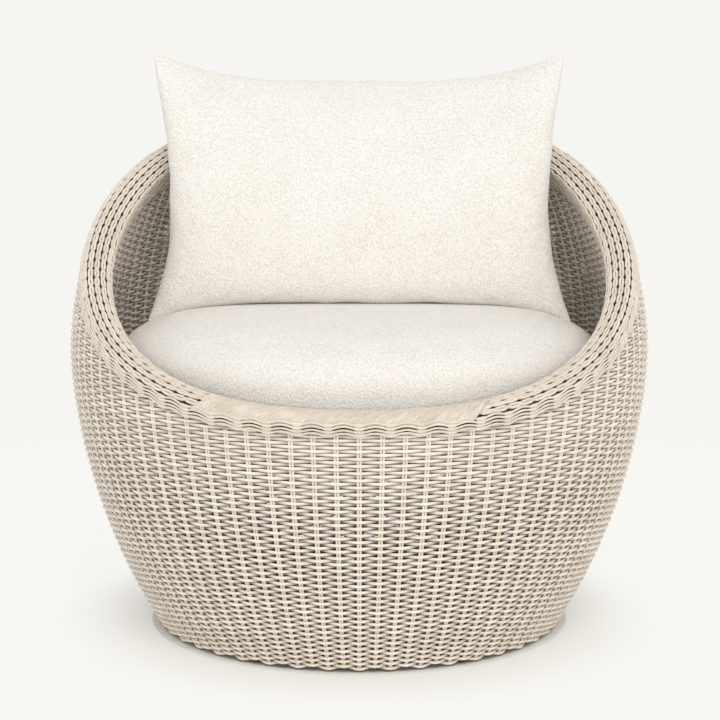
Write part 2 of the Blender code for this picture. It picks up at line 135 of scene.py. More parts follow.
def grainAt(tree, spot, scale, detail=2.0):
    # smooth noise about 0.5
    node = put(tree, "ShaderNodeTexNoise", {"Vector": spot, "Scale": scale, "Detail": detail})
    return Val(tree, node.outputs[0])


def noiseAt(tree, x, y, z):
    # smooth noise about 0
    return grainAt(tree, combine(tree, x, y, z), 1.0, 1.0) - 0.5


def openTree(name, kind, inputs, outputs, defaults=()):
    # an empty node group, its inputs by name, and its output node
    tree = bpy.data.node_groups.new(name, kind)
    for way, sockets in (("INPUT", inputs), ("OUTPUT", outputs)):
        for label, socketKind in sockets.items():
            socket = tree.interface.new_socket(label, in_out=way, socket_type="NodeSocket" + socketKind)
            if label in defaults:
                socket.default_value = defaults[label]
    start, end = tree.nodes.new("NodeGroupInput"), tree.nodes.new("NodeGroupOutput")
    given = {socket.name: Val(tree, socket) for socket in start.outputs if socket.name}
    return tree, SimpleNamespace(**given), end


def newTree(name, **sizes):
    # a geometry tree whose inputs are the given sizes, a guide, a section and a finish
    kinds = {label: "Int" if isinstance(value, int) else "Float" for label, value in sizes.items()}
    inputs = {"guide": "Geometry", **kinds, "section": "Object", "finish": "Material"}
    return openTree(name, "GeometryNodeTree", inputs, {"result": "Geometry"}, sizes)


def strandGrid(tree, columns, rows):
    # a flat grid, one metre square, and the place of its points from -0.5 to 0.5
    sizes = {"Size X": 1.0, "Size Y": 1.0, "Vertices X": columns, "Vertices Y": rows}
    grid = geo(tree, "MeshGrid", sizes)
    x, y, _ = split(tree, geo(tree, "InputPosition"))
    return grid, x, y


def numberOf(place, count):
    # the number of a grid line, from its place
    return ((place + 0.5) * (count - 1.0)).run("ROUND")


def layLines(tree, grid, axis, spot, marks, cut=None):
    # drops a grid's edges along one axis; the lines that are left get marks and their places
    ends = put(tree, "GeometryNodeInputMeshEdgeVertices")
    first, second = (split(tree, ends.outputs[name])[axis] for name in ("Position 1", "Position 2"))
    crossing = (first - second).run("ABSOLUTE").run("GREATER_THAN", 0.0001)
    inputs = {"Geometry": grid, "Selection": crossing}
    lines = geo(tree, "DeleteGeometry", inputs, domain="EDGE", mode="EDGE_FACE")
    if cut is not None:
        inputs = {"Geometry": lines, "Selection": cut}
        lines = geo(tree, "DeleteGeometry", inputs, domain="POINT", mode="ALL")
    for name, value in marks.items():
        inputs = {"Geometry": lines, "Name": name, "Value": value}
        lines = geo(tree, "StoreNamedAttribute", inputs, data_type="FLOAT", domain="POINT")
    return geo(tree, "SetPosition", {"Geometry": lines, "Position": spot})


def toCurve(tree, lines):
    return geo(tree, "MeshToCurve", {"Mesh": lines})


def sampleAt(tree, lines, mode, place, **settings):
    # a place along a line mesh, by its length or as a factor of the whole
    inputs = {"Curves": toCurve(tree, lines), mode: place}
    return put(tree, "GeometryNodeSampleCurve", inputs, mode=mode.upper(), **settings)


def readMark(tree, name, kind):
    return geo(tree, "InputNamedAttribute", {"Name": name}, "Attribute", data_type=kind)


def skinStrands(tree, given, lines, end, scale=1.0):
    # round strands along lines
    sizes = {"Resolution": given.strandSides, "Radius": given.strandRadius}
    ring = geo(tree, "CurvePrimitiveCircle", sizes)
    inputs = {"Curve": toCurve(tree, lines), "Profile Curve": ring, "Scale": scale, "Fill Caps": True}
    finishTree(tree, given, geo(tree, "CurveToMesh", inputs), end)


def finishTree(tree, given, geometry, end):
    smooth = geo(tree, "SetShadeSmooth", {"Geometry": geometry})
    whole = geo(tree, "RealizeInstances", {"Geometry": smooth})
    painted = geo(tree, "SetMaterial", {"Geometry": whole, "Material": given.finish})
    feed(tree, end, {0: painted})


def newObject(name, data):
    made = bpy.data.objects.new(name, data)
    bpy.context.scene.collection.objects.link(made)
    return made


def frozenMesh(piece):
    # the mesh that a piece's modifiers make
    depsgraph = bpy.context.evaluated_depsgraph_get()
    return bpy.data.meshes.new_from_object(piece.evaluated_get(depsgraph), depsgraph=depsgraph)


def bakeNodes(name, guide, tree, **values):
    # runs a tree on a guide mesh and keeps the result as a plain mesh
    helper = newObject(name + "Guide", guide)
    modifier = helper.modifiers.new("nodes", "NODES")
    modifier.node_group = tree
    places = {item.name: item.identifier for item in tree.interface.items_tree if item.in_out == "INPUT"}
    for label, value in values.items():
        modifier[places[label]] = value
    bpy.context.view_layer.update()
    mesh = frozenMesh(helper)
    helper.modifiers.remove(modifier)
    bpy.data.objects.remove(helper)
    mesh.name = name
    print(f"{name}: {sum(len(p.vertices) - 2 for p in mesh.polygons)} triangles")
    return newObject(name, mesh)


def lineMesh(name, points, vectors=None):
    mesh = bpy.data.meshes.new(name)
    mesh.from_pydata(points, [(i, i + 1) for i in range(len(points) - 1)], [])
    for label, rows in (vectors or {}).items():
        attribute = mesh.attributes.new(label, "FLOAT_VECTOR", "POINT")
        attribute.data.foreach_set("vector", [number for row in rows for number in row])
    return mesh


def place(piece, body, slotName, *nodes):
    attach(piece, body)
    if nodes:
        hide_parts(*nodes)


def linear(*rgb):
    # a screen colour, 0 to 255, as the linear colour that a shader takes
    return tuple(((v / 255 + 0.055) / 1.055) ** 2.4 if v > 10 else v / 3294 for v in rgb) + (1.0,)


def dimmed(colour, factor):
    return tuple(v * factor for v in colour[:3]) + (1.0,)


def mixColours(tree, share, first, second):
    return put(tree, "ShaderNodeMix", {0: share, 6: first, 7: second}, data_type="RGBA").outputs[2]


def newGroup(name, colours, numbers=()):
    # a shader group that puts out a colour, a roughness and a height for bump
    inputs = {**dict.fromkeys(colours, "Color"), **dict.fromkeys(numbers, "Float")}
    outputs = {"colour": "Color", "roughness": "Float", "height": "Float"}
    tree, given, end = openTree(name, "ShaderNodeTree", inputs, outputs)
    return tree, given, end, put(tree, "ShaderNodeTexCoord").outputs["Object"]


def newMaterial(name):
    material = bpy.data.materials.new(name)
    material.use_nodes = True
    return material, material.node_tree, material.node_tree.nodes["Principled BSDF"]


def makeMaterial(name, group, values, bump, shaderValues):
    # a material whose colour, roughness and bump come from a shader group
    material, tree, shader = newMaterial(name)
    look = put(tree, "ShaderNodeGroup", values, node_tree=group).outputs
    inputs = {"Strength": bump[0], "Distance": bump[1], "Height": look["height"]}
    feed(tree, shader, {
        "Base Color": look["colour"], "Roughness": look["roughness"],
        "Normal": put(tree, "ShaderNodeBump", inputs).outputs[0], **shaderValues})
    return material


strandLook = {
    "patchScale": 38.0, "grainScale": 900.0, "bump": (0.25, 0.0004), "specular": 0.35,
    "shadePower": 1.7,
}
# pale, warm and shade colours, and how deep the painted shade gets where a strand dips
strandTones = {
    "outer": ((247, 239, 227), (219, 206, 190), (30, 21, 15), 1.0),
    "stake": ((240, 230, 216), (216, 203, 186), (150, 128, 104), 0.0),
    # the inner tones are paler than the outer ones as painted light for the dim inside of the bowl
    "inner": ((255, 250, 241), (246, 235, 219), (66, 46, 32), 0.6),
    # the rim's tones are darker than the wall's as painted shade against the light on its up-facing crown
    "rim": ((232, 222, 207), (204, 192, 176), (30, 21, 15), 1.0),
    "wrap": ((230, 220, 205), (196, 183, 166), (120, 100, 82), 0.5),
    "foot": ((246, 237, 224), (222, 209, 192), (36, 26, 19), 0.95),
    "deck": ((206, 190, 168), (180, 162, 138), (104, 84, 64), 0.5),
}


def makeStrandGroup():
    # straw-coloured resin: tone by strand, patches along it, fine grain, and painted shade where it dips
    tree, given, end, spot = newGroup("resinStrand", ("pale", "warm", "shade"), ("depth",))
    tone, dip = (Val(tree, put(tree, "ShaderNodeAttribute", attribute_name=name).outputs["Fac"])
                 for name in ("tone", "dip"))
    patch = grainAt(tree, spot, strandLook["patchScale"])
    grain = grainAt(tree, spot, strandLook["grainScale"])
    share = (tone * 0.7 + patch * 0.9 + grain * 0.4 - 0.55).within(0.0, 1.0)
    # painted shade: the colour goes toward the shade colour where the strand dips behind its neighbours
    paintedShade = (dip * -0.5 + 0.5) ** strandLook["shadePower"] * given.depth
    body = mixColours(tree, share, given.pale, given.warm)
    feed(tree, end, {"colour": mixColours(tree, paintedShade, body, given.shade),
                     "roughness": grain * 0.25 + 0.42, "height": grain + patch * 0.5})
    return tree


strandGroup = makeStrandGroup()
strandFinish = {}
for toneName, (pale, warm, shade, depth) in strandTones.items():
    strandFinish[toneName] = makeMaterial(
        toneName + "Strand", strandGroup,
        {"pale": linear(*pale), "warm": linear(*warm), "shade": linear(*shade), "depth": depth},
        strandLook["bump"], {"Specular IOR Level": strandLook["specular"]})

# the gap colour is painted shade between the loops
boucleLook = {
    "yarn": (247, 244, 239), "gap": (203, 196, 185), "loopsPerMetre": 330.0, "contrast": 0.9,
    "strayScale": 160.0, "stray": 0.004, "curlScale": 1400.0, "cloudScale": 14.0,
    "bump": (0.7, 0.0016), "sheen": 0.25, "sheenRoughness": 0.5, "specular": 0.2,
}


def makeBoucleGroup():
    # looped yarn: round loops of a few millimetres with painted shade in the gaps between them
    tree, given, end, spot = newGroup("boucleYarn", ("yarn", "gap"), ("loopsPerMetre", "contrast"))
    stray = put(tree, "ShaderNodeTexNoise", {
        "Vector": spot, "Scale": boucleLook["strayScale"], "Detail": 2.0}).outputs["Color"]
    moved = addScaled(tree, spot, stray, boucleLook["stray"])
    cells = put(tree, "ShaderNodeTexVoronoi", {"Vector": moved, "Scale": given.loopsPerMetre})
    loops = (Val(tree, cells.outputs["Distance"]) * -1.25 + 1.0).run("MAXIMUM", 0.0)
    curls = grainAt(tree, spot, boucleLook["curlScale"], 1.0)
    height = loops * 0.75 + curls * 0.5
    cloud = grainAt(tree, spot, boucleLook["cloudScale"])
    # the gap colour is painted shade, laid where the loops are low
    share = (height * -1.0 + 0.92 + (cloud - 0.5) * 0.25) * given.contrast
    feed(tree, end, {"colour": mixColours(tree, share.within(0.0, 1.0), given.yarn, given.gap),
                     "roughness": curls * 0.1 + 0.85, "height": height})
    return tree


boucleGroup = makeBoucleGroup()
seatBoucle, backBoucle = (
    makeMaterial(
        name, boucleGroup,
        {"yarn": linear(*boucleLook["yarn"]), "gap": linear(*boucleLook["gap"]),
         "loopsPerMetre": boucleLook["loopsPerMetre"], "contrast": boucleLook["contrast"]},
        boucleLook["bump"],
        {"Sheen Weight": boucleLook["sheen"], "Sheen Roughness": boucleLook["sheenRoughness"],
         "Specular IOR Level": boucleLook["specular"]})
    for name in ("seatBoucle", "backBoucle"))

coatingLook = {"peelScale": 700.0, "cloudScale": 9.0, "dim": 0.72, "bump": (0.2, 0.0003)}
# colour, roughness, metallic and speckle
coatings = {
    "frameCoating": ((128, 112, 96), 0.42, 0.0, 0.5),
    "glideNylon": ((34, 34, 33), 0.5, 0.0, 0.3),
    "sliderNickel": ((186, 182, 176), 0.28, 0.95, 0.3),
    "zipCoil": ((222, 214, 200), 0.40, 0.0, 0.4),
}


def makeCoatingGroup():
    # powder coat, plate or moulded nylon: slight orange peel and a little unevenness
    tree, given, end, spot = newGroup("coating", ("bright", "dim"), ("roughness", "speckle"))
    peel = grainAt(tree, spot, coatingLook["peelScale"])
    cloud = grainAt(tree, spot, coatingLook["cloudScale"], 3.0)
    share = (cloud * 1.4 + peel * given.speckle - 0.5).within(0.0, 1.0)
    feed(tree, end, {"colour": mixColours(tree, share, given.bright, given.dim),
                     "roughness": peel * 0.2 + given.roughness - 0.1, "height": peel})
    return tree


coatingGroup = makeCoatingGroup()
coated = {}
for coatName, (rgb, roughness, metallic, speckle) in coatings.items():
    bright = linear(*rgb)
    coated[coatName] = makeMaterial(
        coatName, coatingGroup,
        {"bright": bright, "dim": dimmed(bright, coatingLook["dim"]), "roughness": roughness,
         "speckle": speckle},
        coatingLook["bump"], {"Metallic": metallic})

tapeLook = {
    "dark": (206, 197, 181), "pale": (226, 218, 204), "ribScale": 260.0, "ribBend": 1.5,
    "fuzzScale": 1100.0, "bump": (0.4, 0.0004),
}


def makeTapeGroup():
    # woven tape: fine ribs crossed by a slight unevenness
    tree, given, end, spot = newGroup("wovenTape", ("dark", "pale"))
    inputs = {"Vector": spot, "Scale": tapeLook["ribScale"], "Distortion": tapeLook["ribBend"]}
    ribs = Val(tree, put(tree, "ShaderNodeTexWave", inputs, bands_direction="DIAGONAL").outputs["Fac"])
    fuzz = grainAt(tree, spot, tapeLook["fuzzScale"])
    share = (ribs * 0.45 + fuzz * 0.5).run("MINIMUM", 1.0)
    feed(tree, end, {"colour": mixColours(tree, share, given.dark, given.pale),
                     "roughness": fuzz * 0.15 + 0.78, "height": ribs + fuzz * 0.5})
    return tree


zipTape = makeMaterial(
    "zipTape", makeTapeGroup(),
    {"dark": linear(*tapeLook["dark"]), "pale": linear(*tapeLook["pale"])}, tapeLook["bump"], {})
print("materials made")

wallSizes = {
    "stakes": 88, "rimCut": 0.0215, "footRows": 4, "outerPitch": 0.00525, "innerPitch": 0.0059,
    "top": 0.760, "underDeck": 0.006, "guideTop": 0.80, "guideSteps": 500,
}
# the rows swing widest near the foot, and least under the rim at the front
rowSizes = {
    "stakes": wallSizes["stakes"], "rimCut": wallSizes["rimCut"], "pointsPerStake": 5,
    "strandSides": 6, "strandRadius": 0.00230, "lift": 0.0023, "wander": 0.0005,
    "swellRows": 90.0, "footSwell": 1.35, "topSwell": 0.85,
    "calmFrom": 42.0, "calmTo": 72.0, "calm": 0.38,
}
stakeSizes = {
    "stakes": wallSizes["stakes"], "rimCut": wallSizes["rimCut"], "points": 48,
    "strandSides": 6, "strandRadius": 0.0018, "pairGap": 0.0040, "wander": 0.003,
}
guidePoints = []
for k in range(wallSizes["guideSteps"] + 1):
    z = wallSizes["guideTop"] * k / wallSizes["guideSteps"]
    guidePoints.append((meridian(z)[0], 0.0, z))
guideLengths = [0.0]
for before, after in zip(guidePoints, guidePoints[1:]):
    guideLengths.append(guideLengths[-1] + math.dist(before, after))
wallGuide = lineMesh("wallGuide", guidePoints)


def lengthAt(height):
    # the wall's length from the floor up to a height
    steps = height / wallSizes["guideTop"] * wallSizes["guideSteps"]
    k = min(int(steps), wallSizes["guideSteps"] - 1)
    return guideLengths[k] + (steps - k) * (guideLengths[k + 1] - guideLengths[k])


def wallPlace(tree, given, length, angle, offset):
    # a place on the turned wall, and the guide's height there
    sample = sampleAt(tree, given.guide, "Length", length)
    radius, _, height = split(tree, sample.outputs["Position"])
    outX, _, outZ = split(tree, sample.outputs["Tangent"])
    reach = radius + outZ * offset
    back = reach * angle.run("COSINE") * -1.0
    return combine(tree, reach * angle.run("SINE"), back, height - outX * offset), height


def aboveRim(given, angle, height):
    share = (angle.run("COSINE") * -0.5 + 0.5).run("MAXIMUM", 0.0)
    eased = (share ** shell["frontEase"] * -1.0 + 1.0).run("MAXIMUM", 0.0)
    rise = eased ** shell["backEase"] * -1.0 + 1.0
    rim = rise * (shell["rimBack"] - shell["rimFront"]) + shell["rimFront"]
    return (height - rim).run("GREATER_THAN", given.rimCut)


def toneAt(tree, x, y, z, spread=1.8, middle=0.5):
    # a strand's own tone: low is pale, high is warm
    return noiseAt(tree, x, y, z) * spread + middle


def makeRowsTree():
    # rows of strands that pass over one pair of stakes and behind the next
    tree, given, end = newTree(
        "wovenRows", **rowSizes, rows=1, firstRow=0, rowPitch=0.005, start=0.0, offset=0.0,
        facing=1.0, seed=1.0)
    grid, x, y = strandGrid(tree, given.stakes * given.pointsPerStake + 1.0, given.rows)
    stake = (x + 0.5) * given.stakes
    row = numberOf(y, given.rows) + given.firstRow
    wave = ((stake + row) * math.pi).run("COSINE")
    angle = stake * math.tau / given.stakes - math.pi
    swell = row.remap(0.0, given.swellRows, given.footSwell, given.topSwell, "LINEAR")
    calm = row.remap(given.calmFrom, given.calmTo, 0.0, given.calm, "LINEAR")
    swell = swell - angle.run("COSINE").run("MAXIMUM", 0.0) * calm
    lift = given.lift * swell
    stray = noiseAt(tree, stake * 0.31, row * 0.83, given.seed) * given.wander * 2.0
    depth = noiseAt(tree, stake * 0.9, row * 1.7, given.seed + 9.0) * lift * 0.35
    length = row * given.rowPitch + given.start + stray
    spot, height = wallPlace(tree, given, length, angle, wave * lift + given.offset + depth)
    # dip is where the row passes behind a stake pair; the finish paints shade there
    marks = {"tone": toneAt(tree, stake * 0.06, row * 7.31, given.seed + 4.0),
             "dip": (wave * given.facing - 1.0) * swell.run("MINIMUM", 1.0) + 1.0}
    lines = layLines(tree, grid, 1, spot, marks, aboveRim(given, angle, height))
    skinStrands(tree, given, lines, end)
    return tree


def pairedStakes(tree, given):
    # a grid of upright pairs: each stake's number, its pair, its side of it and its run along it
    grid, x, y = strandGrid(tree, given.stakes * 2.0, given.points)
    index = numberOf(x, given.stakes * 2.0)
    pair = (index * 0.5).run("FLOOR")
    return grid, y, index, pair, index - pair * 2.0 - 0.5, lengthAlong(given, y)


def lengthAlong(given, y):
    return given.start + (y + 0.5) * (given.stop - given.start)


def makeStakesTree():
    # pairs of upright stakes that the rows are woven round
    tree, given, end = newTree("wallStakes", **stakeSizes, start=0.0, stop=0.8, offset=0.0, seed=1.0)
    grid, y, index, pair, side, length = pairedStakes(tree, given)
    angle = pair * math.tau / given.stakes - math.pi
    angle = angle + side * given.pairGap / shell["radius"]
    stray = noiseAt(tree, pair * 3.3, y * 9.0, given.seed) * given.wander
    spot, height = wallPlace(tree, given, length, angle + stray, given.offset)
    tone = toneAt(tree, index * 5.1, y * 3.0, given.seed)
    lines = layLines(tree, grid, 0, spot, {"tone": tone}, aboveRim(given, angle, height))
    skinStrands(tree, given, lines, end)
    return tree


rowsTree = makeRowsTree()
stakesTree = makeStakesTree()


def weaveRows(name, first, last, wall, finish, slotName, node):
    piece = bakeNodes(name, wallGuide, rowsTree, **wall, firstRow=first, rows=last - first,
                      finish=strandFinish[finish])
    place(piece, "chair", slotName, node)


def weaveWall(side, slotName, wall, cuts):
    # rows up to the top, cut into pieces at the given rows, and the stakes that they pass round
    stop = lengthAt(wallSizes["top"])
    cuts = (*cuts, int((stop - wall["start"]) / wall["rowPitch"]))
    for k, (first, last) in enumerate(zip(cuts, cuts[1:])):
        weaveRows(f"{side}Weave{k + 1}", first, last, wall, side, slotName, f"{side}_weave")
    stakes = bakeNodes(f"{side}Stakes", wallGuide, stakesTree, start=wall["start"], stop=stop,
                       offset=wall["offset"], seed=wall["seed"] + 1.0, finish=strandFinish["stake"])
    place(stakes, "chair", slotName, f"{side}_weave")


def weaveWalls():
    middle = rowSizes["lift"] + rowSizes["strandRadius"]
    outer = {"start": lengthAt(shell["footGap"]) + rowSizes["strandRadius"], "offset": -middle,
             "rowPitch": wallSizes["outerPitch"], "facing": 1.0, "seed": 1.0}
    inner = {"start": lengthAt(shell["deckTop"] - wallSizes["underDeck"]),
             "offset": middle - shell["thickness"],
             "rowPitch": wallSizes["innerPitch"], "facing": -1.0, "seed": 5.0}
    weaveRows("footHem", 0, wallSizes["footRows"], outer, "foot", "foot_resin", "foot_border")
    weaveWall("outer", "woven_resin", outer, (wallSizes["footRows"], 38, 72, 108))
    weaveWall("inner", "inner_resin", inner, (0, 40))


weaveWalls()
print("walls woven")

# the rolled rim: bands of paired strands woven over cross stakes, round the roll's section
rollSizes = {
    "bands": 13, "firstBand": 2, "edgeBands": 2, "bandsPerPiece": 3, "shift": 0.0038,
    "calmFrom": 29.0, "calmTo": 20.0, "calmBand": 4.0, "sink": 0.004,
    "guideSteps": 720, "sectionSteps": 32, "crownInset": 0.8,
}
bandSizes = {
    "periods": 64, "pointsPerPeriod": 20, "strandSides": 6, "strandRadius": 0.00212,
    "lift": 0.0004, "arch": 0.02, "pinch": 0.135, "swell": 0.0, "spread": 0.475, "wander": 0.0004,
}
edgeSizes = {
    "strandRadius": 0.0017, "lift": 0.0006, "arch": 0.20, "pinch": 0.0, "swell": 0.8, "spread": 0.5,
}
crossSizes = {
    "stakes": bandSizes["periods"] * 2, "points": 30, "strandSides": 6, "strandRadius": 0.0018,
    "pairGap": 0.0034, "start": 0.019, "offset": -0.0034, "seed": 1.0,
}
wrapSizes = {
    "wraps": 230, "points": 22, "strandSides": 6, "strandRadius": 0.0011, "rise": 0.0009,
    "sag": 0.003, "wander": 0.0008, "seed": 1.0,
}
wrapSpan = {"fromBand": 3.1, "run": 0.38, "slant": 1.0}


def rollPlace(tree, given, around, length, rise):
    # a place on the roll: round its section by a length, and along the rim by a share
    outline = geo(tree, "ObjectInfo", {"Object": given.section}, "Geometry")
    section = sampleAt(tree, outline, "Length", length)
    out, _, up = split(tree, section.outputs["Position"])
    runOut, _, runUp = split(tree, section.outputs["Tangent"])
    spot = sampleAt(tree, given.guide, "Factor", around).outputs["Position"]
    for label, amount in (("outward", out + runUp * rise), ("upward", up - runOut * rise)):
        vector = sampleAt(tree, given.guide, "Factor", around, data_type="FLOAT_VECTOR")
        feed(tree, vector, {"Value": readMark(tree, label, "FLOAT_VECTOR")})
        spot = addScaled(tree, spot, vector.outputs["Value"], amount)
    return spot


def calmAt(tree, spot, band):
    # 1 on top of the roll at the front, where the wraps lie over the bands
    x, y, _ = split(tree, spot)
    angle = x.run("ABSOLUTE").run("ARCTAN2", y * -1.0)
    front = angle.remap(math.radians(rollSizes["calmTo"]), math.radians(rollSizes["calmFrom"]), 1.0, 0.0)
    return front * (band + 0.5).run("GREATER_THAN", rollSizes["calmBand"])


def makeBandsTree():
    # pairs of strands side by side along the rim, pinched together at each cross stake
    tree, given, end = newTree("rimBands", **bandSizes, bands=1, firstBand=0, bandWidth=0.0095, seed=1.0)
    rows = given.bands * 2.0
    grid, x, y = strandGrid(tree, given.periods * given.pointsPerPeriod + 1.0, rows)
    around = x + 0.5
    row = numberOf(y, rows)
    step = (row / 2.0 + 0.01).run("FLOOR")
    side = row - step * 2.0 - 0.5
    band = step + given.firstBand
    phase = band.run("MAXIMUM", rollSizes["firstBand"] + 1.0) / 2.0
    swing = ((around * given.periods + phase) * math.tau).run("COSINE")
    beat = (around * given.periods * (2 * math.tau)).run("COSINE")
    calm = calmAt(tree, sampleAt(tree, given.guide, "Factor", around).outputs["Position"], band)
    squeeze = beat.remap(0.0, 0.9, 0.0, 1.0) * (swing * 0.25 + 0.85)
    closing = (swing * -1.0).remap(0.4, 0.95, 0.0, 1.0)
    stray = noiseAt(tree, around * 60.0, row * 1.9, given.seed) * given.wander * 2.0
    spread = side * (squeeze * given.pinch * -2.0 + given.spread)
    length = (band + 0.5 + spread + swing * given.arch) * given.bandWidth + stray
    length = length - (band / -float(rollSizes["bands"]) + 1.0) * rollSizes["shift"]
    spot = rollPlace(tree, given, around, length, swing * given.lift - calm * rollSizes["sink"])
    # dip paints shade where the pair pinches together over a cross stake
    marks = {"tone": toneAt(tree, around * 14.0, row * 7.7, given.seed),
             "dip": squeeze * given.pinch * -4.0 + 1.0, "swell": closing * given.swell + 1.0}
    lines = layLines(tree, grid, 1, spot, marks, calm.run("GREATER_THAN", 0.98))
    skinStrands(tree, given, lines, end, readMark(tree, "swell", "FLOAT"))
    return tree


def makeCrossTree():
    # the stakes' ends, which bend over the roll between its bands, painted wholly in the shade colour as
    # painted shade in the holes between the bands
    tree, given, end = newTree("rimStakes", **crossSizes, stop=0.12, rimLength=2.8)
    grid, y, index, pair, side, length = pairedStakes(tree, given)
    around = (pair / given.stakes + side * given.pairGap / given.rimLength).run("MAXIMUM", 0.0)
    spot = rollPlace(tree, given, around, length, given.offset)
    marks = {"tone": toneAt(tree, index * 5.1, y * 3.0, given.seed), "dip": -1.0}
    skinStrands(tree, given, layLines(tree, grid, 0, spot, marks), end)
    return tree


def makeWrapsTree():
    # thin strands laid slantwise side by side over the crown at the front
    tree, given, end = newTree("rimWraps", **wrapSizes, start=0.03, stop=0.11, reach=0.18, slant=0.36)
    grid, x, y = strandGrid(tree, given.wraps, given.points)
    index = numberOf(x, given.wraps)
    around = x * given.reach + y * (given.stop - given.start) * given.slant + 0.5
    stray = noiseAt(tree, index * 3.7, y * 4.0, given.seed) * given.wander
    sag = (x * math.pi).run("COSINE") * given.sag
    spot = rollPlace(tree, given, around, lengthAlong(given, y), given.rise + stray - sag)
    marks = {"tone": toneAt(tree, index * 5.1, y * 6.0, given.seed, 3.2, 0.6),
             "dip": toneAt(tree, index * 0.9, y * 9.0, given.seed + 2.0, 1.6, 0.6)}
    skinStrands(tree, given, layLines(tree, grid, 0, spot, marks), end)
    return tree


def rimFrame(angle):
    # the roll's middle at an angle, the way out of the wall there and the way up along it
    height = rimHeight(angle)
    radius, slope = meridian(height)
    size = math.hypot(1, slope)
    normal, run = (1 / size, -slope / size), (slope / size, 1 / size)
    inset = shell["thickness"] / 2
    centre = (radius - inset * normal[0] + shell["skirt"] * run[0],
              height - inset * normal[1] + shell["skirt"] * run[1])
    return centre, normal, run


def turned(pair, angle):
    return (pair[0] * math.sin(angle), -pair[0] * math.cos(angle), pair[1])


def makeRimGuide():
    points, outward, upward = [], [], []
    for k in range(rollSizes["guideSteps"] + 1):
        angle = -math.pi + math.tau * k / rollSizes["guideSteps"]
        for row, pair in zip((points, outward, upward), rimFrame(angle)):
            row.append(turned(pair, angle))
    return lineMesh("rimGuide", points, {"outward": outward, "upward": upward})


def rollOutline():
    # up the outer side, over the crown and down the inner side, inside the strands' thickness
    inset = bandSizes["lift"] + bandSizes["strandRadius"]
    half = shell["thickness"] / 2 + shell["proud"] - inset
    crown = shell["crown"] - inset * rollSizes["crownInset"]
    steps, power = rollSizes["sectionSteps"], 2 / shell["square"]
    outline = [(half, -shell["skirt"])]
    for k in range(steps + 1):
        turn = math.pi * k / steps
        across = math.copysign(abs(math.cos(turn)) ** power, math.cos(turn))
        outline.append((half * across, crown * math.sin(turn) ** power if k < steps else 0.0))
    outline.append((-half, -shell["skirt"]))
    return outline


def weaveRim():
    outline = rollOutline()
    guide = makeRimGuide()
    section = newObject("rollSection", lineMesh("rollSection", [(out, 0.0, up) for out, up in outline]))
    run = sum(math.dist(a, b) for a, b in zip(outline, outline[1:]))
    rimRun = sum((b.co - a.co).length for a, b in zip(guide.vertices, guide.vertices[1:]))
    width = run / rollSizes["bands"]
    print(f"rim {rimRun:.3f} m round, bands {width * 1000:.2f} mm wide")

    def addPiece(name, tree, finish, **values):
        piece = bakeNodes(name, guide, tree, section=section, finish=strandFinish[finish], **values)
        place(piece, "chair", "rim_resin", "rim_border")

    bandsTree, crossTree, wrapsTree = makeBandsTree(), makeCrossTree(), makeWrapsTree()
    edge = rollSizes["firstBand"] + rollSizes["edgeBands"]
    step = rollSizes["bandsPerPiece"]
    cuts = (rollSizes["firstBand"], edge, edge + step, edge + 2 * step, rollSizes["bands"])
    for k, (first, last) in enumerate(zip(cuts, cuts[1:])):
        addPiece(f"rimRoll{k + 1}", bandsTree, "rim", bands=last - first, firstBand=first,
                 bandWidth=width, seed=3.0, **(edgeSizes if k == 0 else {}))
    addPiece("rimStakes", crossTree, "rim", stop=run, rimLength=rimRun)
    addPiece("rimWraps", wrapsTree, "wrap", start=width * wrapSpan["fromBand"], stop=run - width,
             reach=wrapSpan["run"] / rimRun, slant=wrapSpan["slant"] / rimRun)
    bpy.data.objects.remove(section)


weaveRim()
print("rim woven")

deckSizes = {
    "pitch": 0.019, "strapWidth": 0.0145, "strapThickness": 0.0016, "lift": 0.0019, "pointsPerCross": 4,
}
deckRoom = {"edge": 0.006, "top": 0.0042}


def makeStrapsTree():
    # straps both ways across a disc, each over one and under the next
    tree, given, end = newTree("deckStraps", **deckSizes, straps=41, discRadius=0.39, height=0.33)
    joined = put(tree, "GeometryNodeJoinGeometry")
    crosses = given.straps - 1.0
    for turn in (0.0, 1.0):
        grid, x, y = strandGrid(tree, crosses * given.pointsPerCross + 1.0, given.straps)
        along, across = (part * (crosses * given.pitch) for part in (x, y))
        step, row = (x + 0.5) * crosses, numberOf(y, given.straps)
        wave = ((step + row + turn) * math.pi).run("COSINE")
        flat = (across * -1.0, along) if turn else (along, across)
        spot = combine(tree, *flat, given.height + wave * given.lift)
        far = (along * along + across * across).run("SQRT").run("GREATER_THAN", given.discRadius)
        # dip is where a strap passes under the next; the finish paints shade there
        marks = {"tone": toneAt(tree, step * 0.2, row * 7.7, turn), "dip": wave}
        curves = toCurve(tree, layLines(tree, grid, 1, spot, marks, far))
        curves = geo(tree, "SetCurveNormal", {"Curve": curves}, mode="Z_UP")
        sizes = {"Width": given.strapWidth, "Height": given.strapThickness}
        strap = geo(tree, "CurvePrimitiveQuadrilateral", sizes)
        inputs = {"Curve": curves, "Profile Curve": strap, "Fill Caps": True}
        feed(tree, joined, {0: geo(tree, "CurveToMesh", inputs)})
    finishTree(tree, given, joined.outputs[0], end)
    return tree


def weaveDeck():
    low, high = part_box("seat_deck")
    straps = int((high.x - low.x) / deckSizes["pitch"]) // 2 * 2 + 1
    piece = bakeNodes("deckStraps", wallGuide, makeStrapsTree(), straps=straps,
                      discRadius=high.x - deckRoom["edge"], height=high.z - deckRoom["top"],
                      finish=strandFinish["deck"])
    place(piece, "chair", "deck_resin", "seat_deck")


weaveDeck()
print("deck woven")

